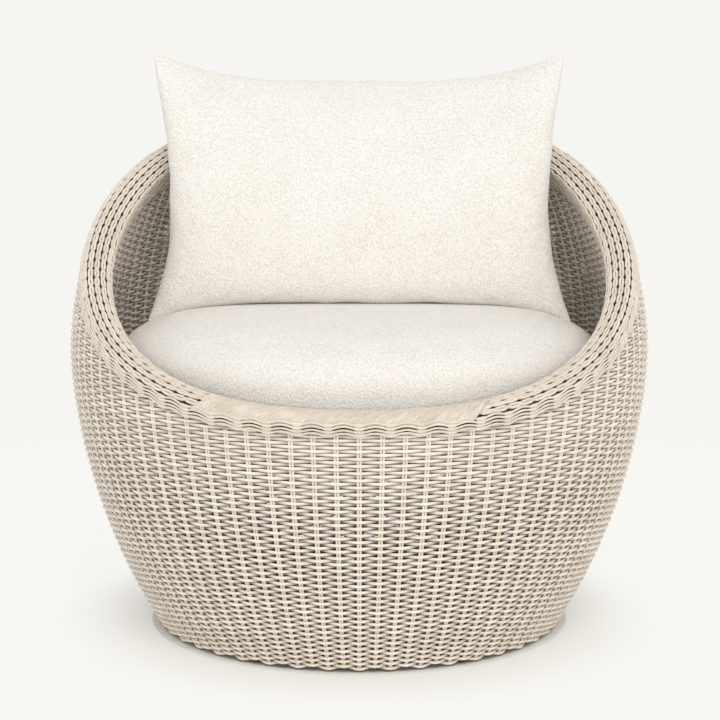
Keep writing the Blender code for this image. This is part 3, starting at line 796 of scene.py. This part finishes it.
clothSettings = {
    "mass": 0.3, "quality": 5, "tension_stiffness": 12, "compression_stiffness": 12,
    "shear_stiffness": 6, "bending_stiffness": 0.4, "use_pressure": True,
}
coverSizes = {"frames": 20, "gatherScale": 48.0, "scallopScale": 21.0, "scallopSeed": 4.0}


def gridFaces(rows, columns, closed):
    faces = []
    for j in range(rows - 1):
        for i in range(columns if closed else columns - 1):
            k = (i + 1) % columns
            faces.append((j * columns + i, j * columns + k, (j + 1) * columns + k, (j + 1) * columns + i))
    return faces


def meshPiece(name, verts, faces, finish, hold):
    # hold says how firmly the seams keep each point, from 0 to 1
    mesh = bpy.data.meshes.new(name)
    mesh.from_pydata(verts, [], faces)
    mesh.attributes.new("hold", "FLOAT", "POINT").data.foreach_set("value", hold)
    shape = bmesh.new()
    shape.from_mesh(mesh)
    bmesh.ops.remove_doubles(shape, verts=shape.verts, dist=0.00001)
    if shape.calc_volume(signed=True) < 0:
        bmesh.ops.reverse_faces(shape, faces=shape.faces)
    shape.to_mesh(mesh)
    shape.free()
    mesh.materials.append(finish)
    mesh.shade_smooth()
    return newObject(name, mesh)


def inflate(piece, pressure, cap):
    # the filling pushes the cover out until its cloth is taut; the seams stay where they are
    rest = [v.co.copy() for v in piece.data.vertices]
    hold = [item.value for item in piece.data.attributes["hold"].data]
    group = piece.vertex_groups.new(name="held")
    for k, weight in enumerate(hold):
        group.add([k], weight, "REPLACE")
    cloth = piece.modifiers.new("cloth", "CLOTH")
    settings = {**clothSettings, "uniform_pressure_force": pressure, "vertex_group_mass": "held"}
    for label, value in settings.items():
        setattr(cloth.settings, label, value)
    cloth.settings.effector_weights.gravity = 0.0
    scene = bpy.context.scene
    for number in range(1, coverSizes["frames"] + 1):
        scene.frame_set(number)
    evaluated = piece.evaluated_get(bpy.context.evaluated_depsgraph_get())
    moved = [v.co.copy() for v in evaluated.data.vertices]
    piece.modifiers.remove(cloth)
    scene.frame_set(1)
    normals = [v.normal.copy() for v in piece.data.vertices]
    for vertex, start, end, weight, normal in zip(piece.data.vertices, rest, moved, hold, normals):
        step = (end - start) * (1 - weight)
        step -= normal * min(step.dot(normal), 0.0)  # the filling lets nothing sink in
        if step.length > cap:
            step *= cap / step.length
        vertex.co = start + step
    piece.vertex_groups.remove(group)
    piece.data.update()


def pucker(piece, depth, scallop, middle):
    # small gathers near the seams, and a seam line that runs a little in and out
    for vertex, item in zip(piece.data.vertices, piece.data.attributes["hold"].data):
        spot, hold = vertex.co, item.value
        gather = noise.noise(spot * coverSizes["gatherScale"]) * depth * 4 * hold * (1 - hold)
        scale = coverSizes["scallopScale"]
        where = Vector((spot.x * scale, spot.z * scale, coverSizes["scallopSeed"]))
        sway = noise.noise(where) * scallop * hold ** 2
        side = Vector((spot.x, 0.0, spot.z - middle)).normalized()
        vertex.co = spot + vertex.normal * gather + side * sway
    piece.data.update()


def subdivide(piece):
    modifier = piece.modifiers.new("subdivision", "SUBSURF")
    modifier.levels = modifier.render_levels = 1
    mesh = frozenMesh(piece)
    piece.modifiers.remove(modifier)
    piece.data = mesh


seatSizes = {
    "base": 0.3369, "bulgeRise": 0.074, "crownRise": 0.083, "radius": 0.374,
    "topPower": 4.4, "crownPower": 2.5, "seamRise": 0.027, "flat": 0.050, "around": 170,
    "pressure": 3.0, "cap": 0.004, "slack": 0.003, "holdRise": 0.040, "puckerDepth": 0.0012,
    "baseRings": (0.02, 0.12, 0.20, 0.26), "crownRings": (0.75, 0.5, 0.28, 0.1),
    "cornerRings": 7, "domeRings": 30, "cornerInset": 0.004, "cornerDrop": 0.006, "seamEdge": 0.006,
}
# how far each ring round the seam lies above it and inside the cushion's widest line
seamRings = ((-0.003, 0.006), (0.0, 0.009), (0.003, 0.006), (0.008, 0.002), (0.016, 0.0008), (0.028, 0.0002))


def seatProfile():
    size = seatSizes
    base, radius, seam = size["base"], size["radius"], size["base"] + size["seamRise"]
    points = [(ring, base) for ring in size["baseRings"]]
    for k in range(size["cornerRings"]):
        turn = math.pi / 2 * k / (size["cornerRings"] - 1)
        out = (size["flat"] - size["cornerInset"]) * math.sin(turn) ** 0.8
        rise = (size["seamRise"] - size["cornerDrop"]) * (1 - math.cos(turn)) ** 1.1
        points.append((radius - size["flat"] + out, base + rise))
    points += [(radius - inset, seam + rise) for rise, inset in seamRings]
    bulge = base + size["bulgeRise"]
    crown = size["crownRise"] - size["slack"]
    for k in range(size["domeRings"]):
        turn = math.pi / 2 * k / size["domeRings"]
        points.append((radius * math.cos(turn) ** (2 / size["topPower"]),
                       bulge + crown * math.sin(turn) ** (2 / size["crownPower"])))
    last = points[-1][0]
    return points + [(last * share, bulge + crown) for share in size["crownRings"]]


def makeSeatCushion():
    profile = seatProfile()
    count = seatSizes["around"]
    verts = []
    for radius, height in profile:
        for k in range(count):
            verts.append(turned((radius, height), math.tau * (k + 0.5) / count))
    faces = gridFaces(len(profile), count, True)
    faces.append(tuple(range(count)))
    faces.append(tuple(range((len(profile) - 1) * count, len(profile) * count)))
    edge = seatSizes["base"] + seatSizes["seamRise"] + seatSizes["seamEdge"]
    hold = [min(max(1 - (z - edge) / seatSizes["holdRise"], 0.0), 1.0) for _, _, z in verts]
    piece = meshPiece("seatCushion", verts, faces, seatBoucle, hold)
    inflate(piece, seatSizes["pressure"], seatSizes["cap"])
    pucker(piece, seatSizes["puckerDepth"], 0.0, 0.0)
    subdivide(piece)
    place(piece, "seat_cushion", "seat_boucle", "seat_cushion")


makeSeatCushion()
print("seat cushion made")

backSizes = {
    "seamY": 0.030, "lean": 13.0, "height": 0.345, "ear": 0.048, "droop": 0.027, "cornerPower": 24,
    "cornerSide": 0.014, "cornerEnd": 0.002, "heel": 0.009, "heelPower": 9, "heelSide": 0.012,
    "waist": 0.3009, "waistLevel": -0.30, "flareTop": 0.030, "flareBottom": 0.034,
    "front": 0.092, "frontDip": 0.22, "fill": 0.60, "wrap": 0.100, "seamHeight": 0.4953,
    "rimGap": 0.004, "rimLean": 0.8, "wallFacets": 60,
    "columns": 96, "rows": 60, "pressure": 3.5, "cap": 0.012, "slack": 0.88, "holdReach": 0.14,
    "puckerDepth": 0.0018, "scallop": 0.0035, "middleHeight": 0.665,
}


def backMiddle(side, height, level):
    hollow = backSizes["wrap"] * (level + 1) / 2 * (1 - side ** 2)
    lean = math.tan(math.radians(backSizes["lean"]))
    return backSizes["seamY"] + (height - backSizes["seamHeight"]) * lean + hollow


def backRoom(level):
    # how far the back of the filling reaches towards the bowl
    height = backSizes["seamHeight"] + backSizes["height"] * (level + 1) / 2
    centre, _, _ = rimFrame(math.pi)
    low = min(height, centre[1])
    radius, slope = meridian(low)
    depth = (shell["thickness"] + shell["proud"]) * math.hypot(1, slope)
    reach = (radius - depth) * math.cos(math.pi / backSizes["wallFacets"])
    reach += (height - low) * backSizes["rimLean"]
    return backSizes["fill"] * (reach - backSizes["rimGap"] - backMiddle(0.0, height, level))


def backPlace(side, level, face):
    # side and level run from -1 to 1; face is -1 in front and 1 behind
    size = backSizes
    bottom = size["seamHeight"] - size["droop"] * side ** 4
    top = size["seamHeight"] + size["height"] + size["ear"] * abs(side) ** 3.5
    height = bottom + (top - bottom) * (level + 1) / 2
    if level > size["waistLevel"]:
        flare = size["flareTop"] * ((level - size["waistLevel"]) / (1 - size["waistLevel"])) ** 2.2
    else:
        flare = size["flareBottom"] * ((size["waistLevel"] - level) / (1 + size["waistLevel"])) ** 1.8
    middle = backMiddle(side, height, level)
    rise = size["slack"] * math.sqrt(max(1 - level ** 2, 0.0))
    edge = max(1 - side ** 6, 0.0)
    if face < 0:
        rise *= size["front"] * (1 - size["frontDip"] * side ** 2 * (1 - level ** 2)) * math.sqrt(edge)
    else:
        rise *= backRoom(level) * edge ** 1.3
    across = side * (size["waist"] + flare) * (1 - size["cornerSide"] * abs(level) ** size["cornerPower"])
    if level > 0:
        height -= size["cornerEnd"] * abs(side) ** size["cornerPower"] * level ** 2
    else:
        heel = abs(side) ** size["heelPower"] * abs(level) ** size["heelPower"]
        height -= size["heel"] * heel
        across *= 1 + size["heelSide"] * heel
    return Vector((across, middle + face * rise, height))


def makeBackCushion():
    columns, rows = backSizes["columns"], backSizes["rows"]
    verts, faces, hold = [], [], []
    for face in (-1, 1):
        start = len(verts)
        for j in range(rows + 1):
            level = -math.cos(math.pi * j / rows)
            for i in range(columns + 1):
                side = -math.cos(math.pi * i / columns)
                verts.append(backPlace(side, level, face))
                edge = min(1 - abs(side), 1 - abs(level)) / backSizes["holdReach"]
                hold.append(max(1 - edge, abs(side * level) ** 5, 0.0))
        panel = gridFaces(rows + 1, columns + 1, False)
        faces += [tuple(start + v for v in (quad if face < 0 else quad[::-1])) for quad in panel]
    piece = meshPiece("backCushion", verts, faces, backBoucle, hold)
    inflate(piece, backSizes["pressure"], backSizes["cap"])
    pucker(piece, backSizes["puckerDepth"], backSizes["scallop"], backSizes["middleHeight"])
    subdivide(piece)
    place(piece, "back_cushion", "back_boucle", "back_cushion")


makeBackCushion()
print("back cushion made")

teethSizes = {
    "pitch": 0.0019, "toothRadius": 0.0005, "toothWidth": 0.0026, "stagger": 0.0007, "sides": 6,
}
zipSizes = {"sink": 0.0003, "endGap": 0.004, "arcPoints": 90}


def makeTeethTree():
    # small bars across a line, each a little to one side of the next
    tree, given, end = newTree("zipTeeth", **teethSizes)
    inputs = {"Curve": toCurve(tree, given.guide), "Length": given.pitch}
    line = geo(tree, "ResampleCurve", inputs, mode="LENGTH")
    points = geo(tree, "CurveToPoints", {"Curve": line}, "Points", mode="EVALUATED")
    across = readMark(tree, "across", "FLOAT_VECTOR")
    turn = put(tree, "FunctionNodeAlignRotationToVector", {"Vector": across}, axis="Z").outputs[0]
    index = Val(tree, geo(tree, "InputIndex"))
    side = (index.run("MODULO", 2.0) - 0.5) * given.stagger
    shift = addScaled(tree, (0.0, 0.0, 0.0), across, side)
    moved = geo(tree, "SetPosition", {"Geometry": points, "Offset": shift})
    sizes = {"Vertices": given.sides, "Radius": given.toothRadius, "Depth": given.toothWidth}
    tooth = geo(tree, "MeshCylinder", sizes, "Mesh")
    inputs = {"Points": moved, "Instance": tooth, "Rotation": turn}
    finishTree(tree, given, geo(tree, "InstanceOnPoints", inputs), end)
    return tree


def sewTeeth(name, body, points, across, tree):
    guide = lineMesh(name + "Line", points, {"across": [across] * len(points)})
    place(bakeNodes(name, guide, tree, finish=coated["zipCoil"]), body, "zip_tape")


def sewZips():
    tree = makeTeethTree()
    low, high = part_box("seat_zip")
    reach = high.y - zipSizes["sink"]
    middle = (low.z + high.z) / 2
    half = math.asin(high.x / high.y) - zipSizes["endGap"] / reach
    count = zipSizes["arcPoints"]
    turns = [half * (2 * k / count - 1) for k in range(count + 1)]
    arc = [(reach * math.sin(turn), reach * math.cos(turn), middle) for turn in turns]
    sewTeeth("seatZipTeeth", "seat_cushion", arc, (0.0, 0.0, 1.0), tree)
    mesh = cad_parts["back_zip"].data
    outer = [face for face in mesh.polygons if face.normal.y > 0.5]
    normal = sum((face.normal * face.area for face in outer), Vector()).normalized()
    corners = [mesh.vertices[k].co for face in outer for k in face.vertices]
    centre = (Vector(map(min, zip(*corners))) + Vector(map(max, zip(*corners)))) / 2
    half = max(corner.x for corner in corners) - zipSizes["endGap"]
    ends = [centre + Vector((x, 0.0, 0.0)) - normal * zipSizes["sink"] for x in (-half, half)]
    across = normal.cross(Vector((1.0, 0.0, 0.0)))
    sewTeeth("backZipTeeth", "back_cushion", [tuple(spot) for spot in ends], tuple(across), tree)


sewZips()
print("zips sewn")

# finishes of the nodes that keep their own shape
nodeFinishes = (
    (("rib_", "foot_ring", "seat_r", "rim_tube"), (), coated["frameCoating"]),
    (("glide",), (), coated["glideNylon"]),
    ((), ("slider",), coated["sliderNickel"]),
    ((), ("zip",), zipTape),
)
for nodeName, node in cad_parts.items():
    for starts, ends, finish in nodeFinishes:
        if nodeName.startswith(starts) or nodeName.endswith(ends):
            node.data.materials.clear()
            node.data.materials.append(finish)

stageSizes = {
    "floorHalf": 30.0, "paper": linear(246, 245, 241), "floor": (0.885, 0.875, 0.845, 1.0),
    "fibreScale": 300.0, "fibreDim": 0.998, "roughness": 0.9,
    "footReach": 0.33, "glowFrom": 0.35, "glowReach": 0.50, "glowShare": 0.85,
    "near": 0.7, "far": 1.8, "nearStrength": 1.04,
}


def mixShaders(tree, share, first, second, end):
    mix = put(tree, "ShaderNodeMixShader", {0: share, 1: first.outputs[0], 2: second.outputs[0]})
    feed(tree, tree.nodes[end], {0: mix.outputs[0]})


def cameraRay(tree):
    return Val(tree, put(tree, "ShaderNodeLightPath").outputs["Is Camera Ray"])


def makeStage():
    # pale paper that takes a faint shadow near the chair and fades into the background
    size = stageSizes
    half = size["floorHalf"]
    mesh = bpy.data.meshes.new("floor")
    corners = [(-half, -half, 0), (half, -half, 0), (half, half, 0), (-half, half, 0)]
    mesh.from_pydata(corners, [], [(0, 1, 2, 3)])
    material, tree, shader = newMaterial("floorPaper")
    spot = put(tree, "ShaderNodeTexCoord").outputs["Object"]
    fibre = grainAt(tree, spot, size["fibreScale"])
    paper = mixColours(tree, fibre, size["floor"], dimmed(size["floor"], size["fibreDim"]))
    feed(tree, shader, {"Base Color": paper, "Roughness": size["roughness"], "Specular IOR Level": 0.0})
    x, y, _ = split(tree, spot)
    reach = (x * x + y * y).run("SQRT")
    near = reach.remap(size["footReach"], size["glowReach"], size["glowFrom"], size["glowShare"])
    near = near * reach.run("GREATER_THAN", size["footReach"])
    fade = near + reach.remap(size["near"], size["far"], 0.0, 1 - size["glowShare"])
    strength = reach.remap(size["near"], size["far"], size["nearStrength"], 1.0)
    glow = put(tree, "ShaderNodeEmission", {0: size["paper"], 1: strength})
    mixShaders(tree, fade * cameraRay(tree), shader, glow, "Material Output")
    mesh.materials.append(material)
    newObject("floor", mesh)


# each sun's strength, width in degrees, and the place that it shines from
lightSizes = {
    "world": 0.80, "colour": (1.0, 0.995, 0.985), "target": (0, 0, 0.3),
    "suns": {"frontSun": (0.48, 9, (0.10, -3.0, 0.70)), "highSun": (1.04, 34, (0.35, -2.2, 2.7))},
}


def makeLights():
    world = bpy.data.worlds.new("studio")
    world.use_nodes = True
    bpy.context.scene.world = world
    tree = world.node_tree
    studio = tree.nodes["Background"]
    feed(tree, studio, {0: (*lightSizes["colour"], 1.0), 1: lightSizes["world"]})
    shown = put(tree, "ShaderNodeBackground", {0: stageSizes["paper"], 1: 1.0})
    mixShaders(tree, cameraRay(tree), studio, shown, "World Output")
    for name, (energy, width, spot) in lightSizes["suns"].items():
        light = bpy.data.lights.new(name, "SUN")
        light.energy = energy
        light.angle = math.radians(width)
        light.color = lightSizes["colour"]
        lamp = newObject(name, light)
        lamp.location = spot
        way = Vector(lightSizes["target"]) - lamp.location
        lamp.rotation_euler = way.to_track_quat("-Z", "Y").to_euler()


# the view that was fitted to the photograph
cameraSizes = {
    "sensor": 36.0, "focalPixels": 1929.9, "pixels": 720, "shift": 0.001,
    "spot": (0.0, -3.0, 0.8627), "pitch": 0.1504,
}


def makeCamera():
    data = bpy.data.cameras.new("camera")
    data.sensor_width = cameraSizes["sensor"]
    data.lens = cameraSizes["focalPixels"] * cameraSizes["sensor"] / cameraSizes["pixels"]
    data.shift_x = cameraSizes["shift"]
    camera = newObject("camera", data)
    camera.location = cameraSizes["spot"]
    camera.rotation_euler = (math.pi / 2 - cameraSizes["pitch"], 0.0, 0.0)
    bpy.context.scene.camera = camera


makeStage()
makeLights()
makeCamera()
bpy.context.scene.view_settings.view_transform = "Standard"
print("stage set")
